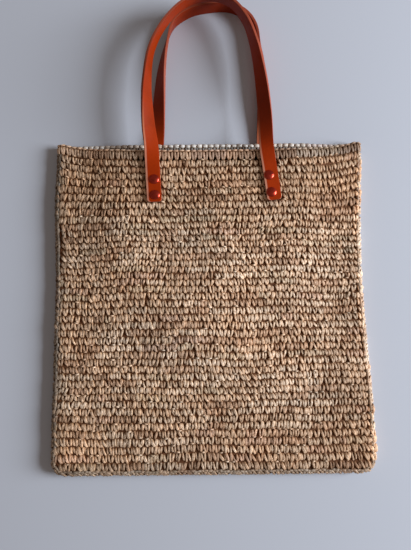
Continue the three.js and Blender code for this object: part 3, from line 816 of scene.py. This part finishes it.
def along_line(line, distance):
    """Points and directions at some distances along a line of points."""
    steps = np.linalg.norm(np.diff(line[:, :2], axis=0), axis=1)
    passed = np.concatenate([[0], np.cumsum(steps)])
    columns = range(line.shape[1])
    point = np.stack([np.interp(distance, passed, line[:, column]) for column in columns], axis=-1)
    before = np.stack([np.interp(distance - 1, passed, line[:, column]) for column in (0, 1)], axis=-1)
    after = np.stack([np.interp(distance + 1, passed, line[:, column]) for column in (0, 1)], axis=-1)
    way = after - before
    return point, way / np.linalg.norm(way, axis=-1, keepdims=True)


def line_length(line):
    return float(np.linalg.norm(np.diff(line[:, :2], axis=0), axis=1).sum())


seam_path = seam_line()
seam_length = line_length(seam_path)


def seam_place(distance, angle, up):
    """On the seam's rounded section: angle 0 is its outer side, a quarter turn is its front."""
    middle, way = along_line(seam_path, distance)
    outward = np.stack([way[..., 1], -way[..., 0]], axis=-1)
    out = (seam_inset + up) * np.cos(angle)
    rise = (seam_half_height + up) * np.sin(angle)
    flat = middle + outward * out[..., None]
    height = np.maximum(seam_half_height + rise, FLOOR_CLEARANCE)
    return np.stack([flat[..., 0], flat[..., 1], height], axis=-1)


def tube(name, columns, rows, place, ends_filled):
    """A tube from a sheet whose long or short edges meet."""
    piece = wrapped_sheet(name, columns, rows, place)
    bpy.ops.object.mode_set(mode="EDIT")
    bpy.ops.mesh.select_all(action="SELECT")
    bpy.ops.mesh.remove_doubles(threshold=0.01 * MM)
    if ends_filled:
        bpy.ops.mesh.fill_holes(sides=0)
        bpy.ops.mesh.select_all(action="SELECT")
        bpy.ops.mesh.normals_make_consistent(inside=False)
    bpy.ops.object.mode_set(mode="OBJECT")
    return piece


def seam_core_place(around, along):
    return seam_place(along * seam_length, around * 2 * math.pi, np.full(around.shape, -SEAM_CORE))


seam_core = tube("joining_seam_core", columns=16, rows=260, place=seam_core_place, ends_filled=True)
seam_core.data.materials.append(gap_shade)
bpy.ops.object.shade_smooth()
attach(seam_core, "bag")
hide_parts("joining_seam")

# Angles round the seam are turned into lengths with its mean radius, so that the strands keep their width.
seam_round = (seam_inset + seam_half_height) / 2
seam_strands = Strands()
seam_count = round(seam_length / SEAM_PITCH)
seam_step = seam_length / seam_count
for stitch, tint in enumerate(raffia_runs(seam_count)):
    start = (stitch + 0.5) * seam_step
    # Painted light and shade along the seam.
    tint = tint * np.interp(start / seam_length, SEAM_TONE_PLACES, SEAM_LIGHT_AND_SHADE)
    for side, wrap, lift in ((1, SEAM_FRONT_WRAP, 0.0), (-1, SEAM_BACK_WRAP, SEAM_BACK_LIFT)):
        foot = start - SEAM_SLANT / 2 + jitter(SEAM_JITTER)
        reach = SEAM_REACH + draws.uniform(*SEAM_REACH_VARIES)
        head = start + SEAM_SLANT / 2 + jitter(SEAM_JITTER)
        seam_strands.add(
            (foot, reach * seam_round * side), (head, -wrap * seam_round * side),
            tint, SEAM_STRAND_WIDTH, SEAM_VARIES, lift=lift, bow=SEAM_BOW * side,
        )
    chain_light_and_shade = np.interp(start / seam_length, SEAM_TONE_PLACES, SEAM_CHAIN_LIGHT_AND_SHADE)
    seam_strands.add(
        (start - SEAM_CHAIN_REACH, (SEAM_CHAIN_ANGLE + jitter(SEAM_CHAIN_JITTER)) * seam_round),
        (start + SEAM_CHAIN_REACH, (SEAM_CHAIN_ANGLE + jitter(SEAM_CHAIN_JITTER)) * seam_round),
        tint * chain_light_and_shade, SEAM_CHAIN_WIDTH, SEAM_CHAIN_VARIES, sway=SEAM_CHAIN_SWAY,
    )


def seam_strand_place(distance, arc, up):
    return seam_place(np.clip(distance, SEAM_END, seam_length - SEAM_END), arc / seam_round, up)


piece = seam_strands.lay("joining_seam_stitches", seam_strand_place, relief=SEAM_RELIEF)
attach(piece, "bag")

# The mouth rim is one last round of tall stitches, finished with a chain of loops along its upper edge. Its
# inner side is painted paler and greyer, as light, and the legs under its chain darker, as shade down in the
# mouth. Its outer side is a little darker, with painted shade that is deepest on the front's right.
RIM_PITCH = 7.0
RIM_FOOT = 0.6
RIM_SPREAD = 2.1
RIM_LEAN = 0.8
RIM_BOW = 0.4
RIM_STRAND_WIDTH = 3.2
RIM_RELIEF = 0.6
RIM_TUCK = 0.6
RIM_HEAD_DROP = 0.9
RIM_FOOT_JITTER = 0.7
RIM_HEAD_JITTER = 0.8
RIM_VARIES = ((0.75, 1.15), (0.8, 1.15), (-0.3, 0.1))
RIM_SHADE_X = (20.0, 110.0)
RIM_RIGHT_SHADE = 0.42
OUTER_TINT = np.array([0.88, 0.86, 0.86])
OUTER_CHAIN_WIDTH = 2.5
OUTER_CHAIN_DROP = 1.1
INNER_LIGHT_TINT = np.array([0.9, 1.12, 1.42])
INNER_CHAIN_WIDTH = 4.6
INNER_CHAIN_DROP = 2.0
INNER_LEG_SHADE = 0.4
INNER_LIFT = 1.0
# Each loop of the chain climbs a little, from this far below its level to this far above.
CHAIN_REACH = 4.4
CHAIN_DIP = 0.5
CHAIN_CLIMB = 0.3
CHAIN_JITTER = 0.3
CHAIN_VARIES = ((0.85, 1.05), (0.8, 1.15))
CHAIN_LIFT = 0.1
CHAIN_BOW = 0.3
PANEL_THICKNESS = 5.0
RIM_CORE_FOOT = -1.0
RIM_CORE_HEIGHT = 11.2

rim_corner_y = rim_bottom + MOUTH_CORNER
rim_radius = seam_half_height


def rim_line():
    """The mouth's outer line, round all four sides: x, z, and how far the mouth reaches there."""
    left_end, right_end = both_sides(rim_corner_y, rim_radius)
    left, right = both_sides(rim_corner_y, panel_inset)
    xs = np.linspace(left_end, right_end, num=160)
    share = (xs - left) / (right - left)
    level = np.full(len(xs), rim_bottom)
    front = np.stack([xs, front_height(xs, level), mouth_reach(FRONT_EDGE, share)], axis=-1)
    back = np.stack([xs, back_height(xs, level), mouth_reach(BACK_EDGE, share)], axis=-1)[::-1]
    turn = np.linspace(0, math.pi, num=16)[1:-1]
    corner = np.full(len(turn), MOUTH_CORNER)
    right_round, left_round = [
        np.stack([
            end + side * rim_radius * np.sin(turn), rim_radius + side * rim_radius * np.cos(turn), corner,
        ], axis=-1)
        for side, end in ((1, right_end), (-1, left_end))
    ]
    half = len(turn) // 2
    return np.concatenate([left_round[half:], front, right_round, back, left_round[:half + 1]])


rim_path = rim_line()
rim_length = line_length(rim_path)


def rim_place(distance, height, up):
    """On the rim's outer side: a distance round the mouth, a height over the rim's foot, and outwards."""
    middle, way = along_line(rim_path, np.mod(distance, rim_length))
    outward = np.stack([-way[..., 1], way[..., 0]], axis=-1)
    x = middle[..., 0] + outward[..., 0] * up
    z = middle[..., 1] + outward[..., 1] * up
    return np.stack([x, rim_bottom + height + middle[..., 2], np.maximum(z, FLOOR_CLEARANCE)], axis=-1)


def rim_inner_place(distance, height, up):
    return rim_place(distance, height, -PANEL_THICKNESS - INNER_LIFT - up)


def rim_core_place(around, along):
    height = RIM_CORE_FOOT + along * RIM_CORE_HEIGHT
    return rim_place(around * rim_length, height, np.full(around.shape, GROUND_LEVEL))


rim_core = tube("mouth_rim_core", columns=320, rows=5, place=rim_core_place, ends_filled=False)
thicken(rim_core, -1.0)
rim_core.data.materials.append(gap_shade)
bpy.ops.object.shade_smooth()
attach(rim_core, "bag")
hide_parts("mouth_rim")

rim_count = round(rim_length / RIM_PITCH)
rim_step = rim_length / rim_count
for side_name, place, rim_tint, leg_shade, right_shade, chain_width, chain_drop in (
    ("outer", rim_place, OUTER_TINT, 1.0, RIM_RIGHT_SHADE, OUTER_CHAIN_WIDTH, OUTER_CHAIN_DROP),
    ("inner", rim_inner_place, INNER_LIGHT_TINT, INNER_LEG_SHADE, 0.0, INNER_CHAIN_WIDTH, INNER_CHAIN_DROP),
):
    rim_strands = Strands()
    chain_level = RIM_HEIGHT - chain_drop
    for stitch, tint in enumerate(raffia_runs(rim_count)):
        around = (stitch + 0.5) * rim_step
        place_x = along_line(rim_path, around)[0][0]
        # Painted shade on the outer side towards the right; painted light on the inner side, and painted
        # shade on its legs.
        shade = rim_tint * (1 - right_shade * smooth(place_x, *RIM_SHADE_X))
        for side in (-1, 1):
            rim_strands.add(
                (around + RIM_LEAN + side * RIM_FOOT + jitter(RIM_FOOT_JITTER), -RIM_TUCK),
                (around + side * RIM_SPREAD + jitter(RIM_HEAD_JITTER), RIM_HEIGHT - RIM_HEAD_DROP),
                tint * (shade * leg_shade), RIM_STRAND_WIDTH, RIM_VARIES, bow=side * RIM_BOW,
            )
        rim_strands.add(
            (around - CHAIN_REACH, chain_level - CHAIN_DIP + jitter(CHAIN_JITTER)),
            (around + CHAIN_REACH, chain_level + CHAIN_CLIMB + jitter(CHAIN_JITTER)),
            tint * shade, chain_width, CHAIN_VARIES, lift=CHAIN_LIFT, bow=CHAIN_BOW,
        )
    piece = rim_strands.lay(f"mouth_rim_{side_name}_stitches", place, relief=RIM_RELIEF)
    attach(piece, "bag")

# Each handle is one leather strap. Its ends lie flat on a panel, and in between it turns on edge and arches
# over the mouth. Both handles' turns are measured from a line a little below the rim.
STRAP_WIDTH = 16.8
STRAP_ROUNDING = 0.9
STRAP_LIFT = 0.2
TAIL_ROUNDING = 3.5
TAIL_STEPS = 8
FLEX_DROP = 25.0
HANDLE_RISE = 190.0
FLAT_STANCE = STRAP_THICKNESS / 2
EDGE_STANCE = STRAP_WIDTH / 2
STANCE_SOFTNESS = 0.8
BACK_MIDDLE = 4.0
BACK_SETTLE = 0.4
SETTLE_RUN = 6.0
LOOP_CLEARANCE = 4.0
LEATHER_COLOUR = paint(160, 47, 0)
LEATHER_EDGE_COLOUR = paint(150, 62, 34)
# Each end carries a painted pale highlight along its left edge: between which shares across the strap, and
# of its length.
LEATHER_HIGHLIGHT_COLOUR = paint(214, 150, 124)
HIGHLIGHT_ACROSS = (0.84, 0.915)
HIGHLIGHT_ALONG = (0.24, 0.06)
# The arch is painted darker and deeper in colour, as shade: the colour's factors there, and between which
# shares of the strap's length they set in at either end.
LEATHER_ARCH_SHADE = (0.72, 0.74, 0.5, 1.0)
ARCH_SHADE_RUN = (0.11, 0.19)
# The leather's light is an even part with soft clouds and fine grain on it. It is duller in its clouds.
LEATHER_EVEN = 0.62
LEATHER_CLOUDS = 0.5
LEATHER_FINE = 0.25
LEATHER_ROUGHNESS = 0.34
LEATHER_DULLING = 0.16
LEATHER_SHINE = 0.16
LEATHER_COAT = 0.03
LEATHER_COAT_ROUGHNESS = 0.3
HIGHLIGHT_EVEN = 0.4
HIGHLIGHT_CLOUDS = 0.9

front_strap_bottom = crown_top + STRAP_PLAY
arch_middle = STRAP_LIFT + 2 * EDGE_STANCE + LOOP_CLEARANCE + EDGE_STANCE
# The strap's ends: where it crosses the mouth's level, its lean in degrees, how far its tail lies below that
# level, and the rivets' margin from the tail, their spacing, and their shift to one side.
Tab = namedtuple("Tab", "rim_x lean tail_drop margin spacing shift")
TABS = {
    "front": {
        "left": Tab(-67.9, 3.2, 66.7, 7.9, 18.7, 1.2),
        "right": Tab(67.6, 7.0, 65.6, 9.3, 20.6, -2.2),
    },
    "back": {
        "left": Tab(-64.2, 3.5, 66.2, 8.6, 19.4, 0.6),
        "right": Tab(67.5, 6.0, 66.6, 8.4, 19.8, -0.8),
    },
}
# The arch's points: across in half handle widths from the middle, and up in shares of the rise. The twist's
# start and run are shares of the rise too, and its last value is how quickly it sets in.
LOOPS = {
    "front": {
        "route": [
            (-1.045, 0.12), (-1.072, 0.25), (-1.08, 0.4), (-0.994, 0.635), (-0.73, 0.82), (-0.38, 0.94),
            (0.066, 0.98), (0.416, 0.94), (0.668, 0.825), (0.814, 0.67), (0.92, 0.45), (0.98, 0.2),
        ],
        "twist_degrees": 97,
        "twist": {"left": (0, 1.184, 1.8), "right": (0, 1.158, 1.05)},
    },
    "back": {
        "route": [
            (-0.98, 0.14), (-0.955, 0.31), (-0.9, 0.56), (-0.81, 0.735), (-0.67, 0.875), (-0.37, 0.955),
            (0.06, 0.99), (0.42, 0.987), (0.7, 0.935), (0.89, 0.84), (0.975, 0.69), (1.01, 0.45),
            (1.01, 0.2),
        ],
        "twist_degrees": 90,
        "twist": {"left": (0.187, 0.907, 1.15), "right": (0.187, 0.855, 1.2)},
    },
}


def tab_point(tab, y):
    """Where the middle of a strap's end is at height y."""
    return np.array([tab.rim_x + (mouth_y - y) * math.tan(math.radians(tab.lean)), y])


def smooth_curve(points, steps=24):
    """A centripetal curve through the points, as the strap's own stiffness would draw it."""
    points = [2 * points[0] - points[1], *points, 2 * points[-1] - points[-2]]
    curve = []
    for before, start, end, after in zip(points, points[1:], points[2:], points[3:]):
        gaps = [math.sqrt(np.linalg.norm(b - a)) for a, b in ((before, start), (start, end), (end, after))]
        leave = (start - before) / gaps[0] - (end - before) / (gaps[0] + gaps[1]) + (end - start) / gaps[1]
        arrive = (end - start) / gaps[1] - (after - start) / (gaps[1] + gaps[2]) + (after - end) / gaps[2]
        leave, arrive = leave * gaps[1], arrive * gaps[1]
        for t in np.linspace(0, 1, steps, endpoint=False):
            bend = (-3 * start + 3 * end - 2 * leave - arrive) * t ** 2
            curve.append(start + leave * t + bend + (2 * start - 2 * end + leave + arrive) * t ** 3)
    return np.array([*curve, points[-2]])


def soft_max(first, second, softness):
    """The larger of two values, with a smooth change from one to the other."""
    return (first + second + np.sqrt((first - second) ** 2 + softness ** 2)) / 2


def strap_shares(wire):
    """How far across the strap a point of its surface is, and how far along."""
    place = wire.node("ShaderNodeUVMap", {"uv_map": "UVMap"}, output="UV")
    return [wire.node("ShaderNodeSeparateXYZ", {}, {"Vector": place}, axis) for axis in ("X", "Y")]


def highlight_strip(wire):
    """Where both ends of a strap carry a painted pale highlight: along their left edges, fading out up the
    leg.
    """
    across, along = strap_shares(wire)
    first_end = across.step(*HIGHLIGHT_ACROSS) * along.step(*HIGHLIGHT_ALONG)
    return (1 - across).step(*HIGHLIGHT_ACROSS) * (1 - along).step(*HIGHLIGHT_ALONG) + first_end


def arch_shade_share(wire):
    """From 0 at the strap's ends to 1 along the arch, where shade is painted."""
    _, along = strap_shares(wire)
    from_end = 0.5 - wire.node("ShaderNodeMath", {"operation": "ABSOLUTE"}, {0: along - 0.5})
    return from_end.step(*ARCH_SHADE_RUN)


def strap_grain():
    """Smooth vegetable-tanned leather with soft clouds, fine pores and a thin waxy coat."""
    finish, shader, wire = new_finish("leather")
    place = wire.node("ShaderNodeTexCoord", output="Object")
    pores = wire.node("ShaderNodeTexVoronoi", {}, {"Vector": place, "Scale": 900.0}, "Distance")
    cloud = blotches(wire, scale=34.0)
    fine = blotches(wire, scale=380.0, detail=3.0)
    light = cloud * LEATHER_CLOUDS + fine * LEATHER_FINE + LEATHER_EVEN
    # Painted highlight along the ends' left edges, and painted shade over the arch.
    edge_highlight = highlight_strip(wire) * (cloud * HIGHLIGHT_CLOUDS + HIGHLIGHT_EVEN)
    clean = edge_highlight.mix(light.times_colour(LEATHER_COLOUR), LEATHER_HIGHLIGHT_COLOUR)
    arch_shade = arch_shade_share(wire).mix((1.0, 1.0, 1.0, 1.0), LEATHER_ARCH_SHADE)
    wire.feed(shader.inputs["Base Color"], clean.through(arch_shade))
    wire.feed(shader.inputs["Roughness"], cloud * LEATHER_DULLING + LEATHER_ROUGHNESS)
    emboss(shader, pores + fine * 2.0, strength=0.35, depth=0.12)
    shader.inputs["Specular IOR Level"].default_value = LEATHER_SHINE
    shader.inputs["Coat Weight"].default_value = LEATHER_COAT
    shader.inputs["Coat Roughness"].default_value = LEATHER_COAT_ROUGHNESS
    return finish


leather = strap_grain()
# The strap's cut edge is paler than its faces, matt and a little mottled.
leather_edge, _, _ = blotchy_finish(
    "leather_edge", LEATHER_EDGE_COLOUR, scale=300.0, contrast=0.5, darkest=0.72, roughness=0.65,
)


def strap_middle_line(name):
    """The strap's plan line from tail to tail, and how far from either tail its turn is measured."""
    left, right = TABS[name]["left"], TABS[name]["right"]
    middle = (left.rim_x + right.rim_x) / 2
    half = (right.rim_x - left.rim_x) / 2
    flex_y = mouth_y - FLEX_DROP
    points = [tab_point(left, flex_y), tab_point(left, mouth_y)]
    for across, up in LOOPS[name]["route"]:
        points.append(np.array([middle + across * half, mouth_y + up * HANDLE_RISE]))
    points += [tab_point(right, mouth_y), tab_point(right, flex_y)]
    loop = smooth_curve(points)
    tails = [tab_point(tab, mouth_y - tab.tail_drop) for tab in (left, right)]
    line = np.concatenate([tails[:1], loop, tails[1:]])
    return line, np.linalg.norm(loop[0] - tails[0]), np.linalg.norm(loop[-1] - tails[1])


def strap_stance(name, twist, on_loop):
    """The height of the strap's middle: it rests on its face, or on its edge where it is turned."""
    stance = EDGE_STANCE * np.sin(twist) + FLAT_STANCE * np.abs(np.cos(twist))
    if name == "front":
        return arch_middle - soft_max(0, arch_middle - (front_strap_bottom + stance), STANCE_SOFTNESS)
    middle = BACK_MIDDLE + soft_max(0, STRAP_LIFT + stance - BACK_MIDDLE, STANCE_SOFTNESS)
    return middle - BACK_SETTLE * (1 - np.sin(twist)) * on_loop


def strap(name, rows=340):
    """One strap from tail to tail."""
    facing = {"front": 1.0, "back": -1.0}[name]
    line, left_tab, right_tab = strap_middle_line(name)
    length = line_length(line)
    rounded = TAIL_ROUNDING * (1 - np.cos(np.linspace(0, math.pi / 2, TAIL_STEPS)))
    body = np.linspace(TAIL_ROUNDING, length - TAIL_ROUNDING, rows + 3 - 2 * TAIL_STEPS)
    stations = np.concatenate([rounded, body[1:-1], length - rounded[::-1]])

    def place(across, along):
        distance = np.interp(along, np.linspace(0, 1, len(stations)), stations)
        from_tail = np.minimum(distance, length - distance)
        nip = np.maximum(TAIL_ROUNDING - from_tail, 0)
        half = STRAP_WIDTH / 2 - TAIL_ROUNDING + np.sqrt(TAIL_ROUNDING ** 2 - nip ** 2)
        point, way = along_line(line, distance)
        from_flex = {"left": distance - left_tab, "right": length - distance - right_tab}
        twist = np.zeros(distance.shape)
        for side, passed in from_flex.items():
            start, run, ease = LOOPS[name]["twist"][side]
            share = np.clip((passed / HANDLE_RISE - start) / run, 0, 1)
            turned = math.radians(LOOPS[name]["twist_degrees"]) * (1 - (1 - share) ** ease)
            twist = np.where((distance < length / 2) == (side == "left"), turned, twist)
        on_loop = smooth(np.minimum(from_flex["left"], from_flex["right"]), -SETTLE_RUN, SETTLE_RUN)
        middle = strap_stance(name, twist, on_loop)
        inward = np.stack([way[..., 1], -way[..., 0], np.zeros(way.shape[:-1])], axis=-1)
        outward = -inward * np.cos(twist)[..., None]
        outward[..., 2] += facing * np.sin(twist)
        centre = np.stack([point[..., 0], point[..., 1], middle], axis=-1)
        return centre + outward * ((across * 2 - 1) * half)[..., None]

    piece = wrapped_sheet(f"{name}_strap", 10, rows, place)
    piece.data.materials.append(leather)
    piece.data.materials.append(leather_edge)
    finish_modifiers(
        piece,
        ("SOLIDIFY", {"thickness": STRAP_THICKNESS * MM, "offset": 0.0, "material_offset_rim": 1}),
        ("BEVEL", {
            "width": STRAP_ROUNDING * MM, "segments": 3, "material": 0,
            "limit_method": "ANGLE", "angle_limit": math.radians(50),
        }),
    )
    bpy.ops.object.mode_set(mode="EDIT")
    bpy.ops.mesh.select_all(action="SELECT")
    bpy.ops.mesh.normals_make_consistent(inside=False)
    bpy.ops.object.mode_set(mode="OBJECT")
    bpy.ops.object.shade_smooth_by_angle(angle=math.radians(50))
    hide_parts(f"{name}_handle_loop", f"{name}_tab_left", f"{name}_tab_right")
    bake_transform(piece)


for name in ("front", "back"):
    strap(name)

# Each strap end is held by two copper rivets with domed caps. The caps are pressed, with a rolled edge, and
# their posts go through the strap, the crochet and a patch inside.
CAP_RADIUS = 5.8
CAP_HEIGHT = 2.2
CAP_SIDES = 36
# The cap's profile: shares of its radius and height, from the rolled edge to the crown.
CAP_PROFILE = [
    (0.95, 0.0), (1.0, 0.08), (0.97, 0.22), (0.86, 0.42),
    (0.7, 0.63), (0.5, 0.82), (0.28, 0.95), (0.1, 1.0),
]
COPPER_COLOUR = paint(192, 66, 50)
COPPER_METAL = 0.95
COPPER_ROUGHNESS = 0.16
COPPER_DULLING = 0.3

# Antiqued copper plate is shiny, but darker and duller in small blotches.
copper, copper_shader, tarnish = blotchy_finish(
    "copper", COPPER_COLOUR, scale=260.0, contrast=0.9, darkest=0.5, roughness=0.3,
)
tarnish.feed(copper_shader.inputs["Roughness"], tarnish * COPPER_DULLING + COPPER_ROUGHNESS)
copper_shader.inputs["Metallic"].default_value = COPPER_METAL


def rivet_cap(name, x, y, z, facing):
    """A domed cap on a strap's face at z, drawn from a disc in steps."""
    bpy.ops.object.select_all(action="DESELECT")
    bpy.ops.mesh.primitive_circle_add(vertices=CAP_SIDES, radius=CAP_RADIUS * MM, fill_type="NGON")
    cap = bpy.context.object
    cap.name = name
    cap.data.name = name
    bpy.ops.object.mode_set(mode="EDIT")
    bpy.ops.mesh.select_all(action="SELECT")
    girth, height = 1.0, 0.0
    for share, rise in CAP_PROFILE:
        lift = (rise - height) * CAP_HEIGHT * MM
        if lift:
            bpy.ops.mesh.extrude_region_move(TRANSFORM_OT_translate={"value": (0, 0, lift)})
        bpy.ops.transform.resize(value=(share / girth, share / girth, 1))
        girth, height = share, rise
    bpy.ops.mesh.select_all(action="SELECT")
    bpy.ops.transform.resize(value=(1, 1, facing), center_override=(0, 0, 0))
    bpy.ops.transform.translate(value=(x * MM, y * MM, z * MM))
    bpy.ops.mesh.normals_make_consistent(inside=False)
    bpy.ops.object.mode_set(mode="OBJECT")
    cap.data.materials.append(copper)
    bpy.ops.object.shade_smooth_by_angle(angle=math.radians(60))
    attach(cap, "bag")
    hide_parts(name.replace("_dome", "_cap"))


strap_faces = {"front": front_strap_bottom + STRAP_THICKNESS, "back": BACK_STRAP_FACE}
for name, facing in (("front", 1), ("back", -1)):
    for side, tab in TABS[name].items():
        lean = math.radians(tab.lean)
        tail = tab_point(tab, mouth_y - tab.tail_drop)
        for row, along in (("lower", tab.margin), ("upper", tab.margin + tab.spacing)):
            x = tail[0] + math.cos(lean) * tab.shift - math.sin(lean) * along
            y = tail[1] + math.sin(lean) * tab.shift + math.cos(lean) * along
            rivet_cap(f"{name}_{side}_{row}_dome", x, y, strap_faces[name], facing)

# Inside the bag the rivets' copper studs hold backing patches of split leather against the crochet, which
# keep it from tearing. Both have the frame's own shapes.
PATCH_COLOUR = paint(132, 74, 44)

suede, suede_shader, nap = blotchy_finish(
    "suede", PATCH_COLOUR, scale=700.0, contrast=0.8, darkest=0.55, roughness=0.88,
)
emboss(suede_shader, nap, strength=0.7, depth=0.3)
for name in ("front", "back"):
    for side in ("left", "right"):
        patch = bpy.data.objects[f"{name}_patch_{side}"]
        patch.data.materials.clear()
        patch.data.materials.append(suede)
        for row in ("lower", "upper"):
            stud = bpy.data.objects[f"{name}_{side}_{row}_stud"]
            stud.data.materials.clear()
            stud.data.materials.append(copper)
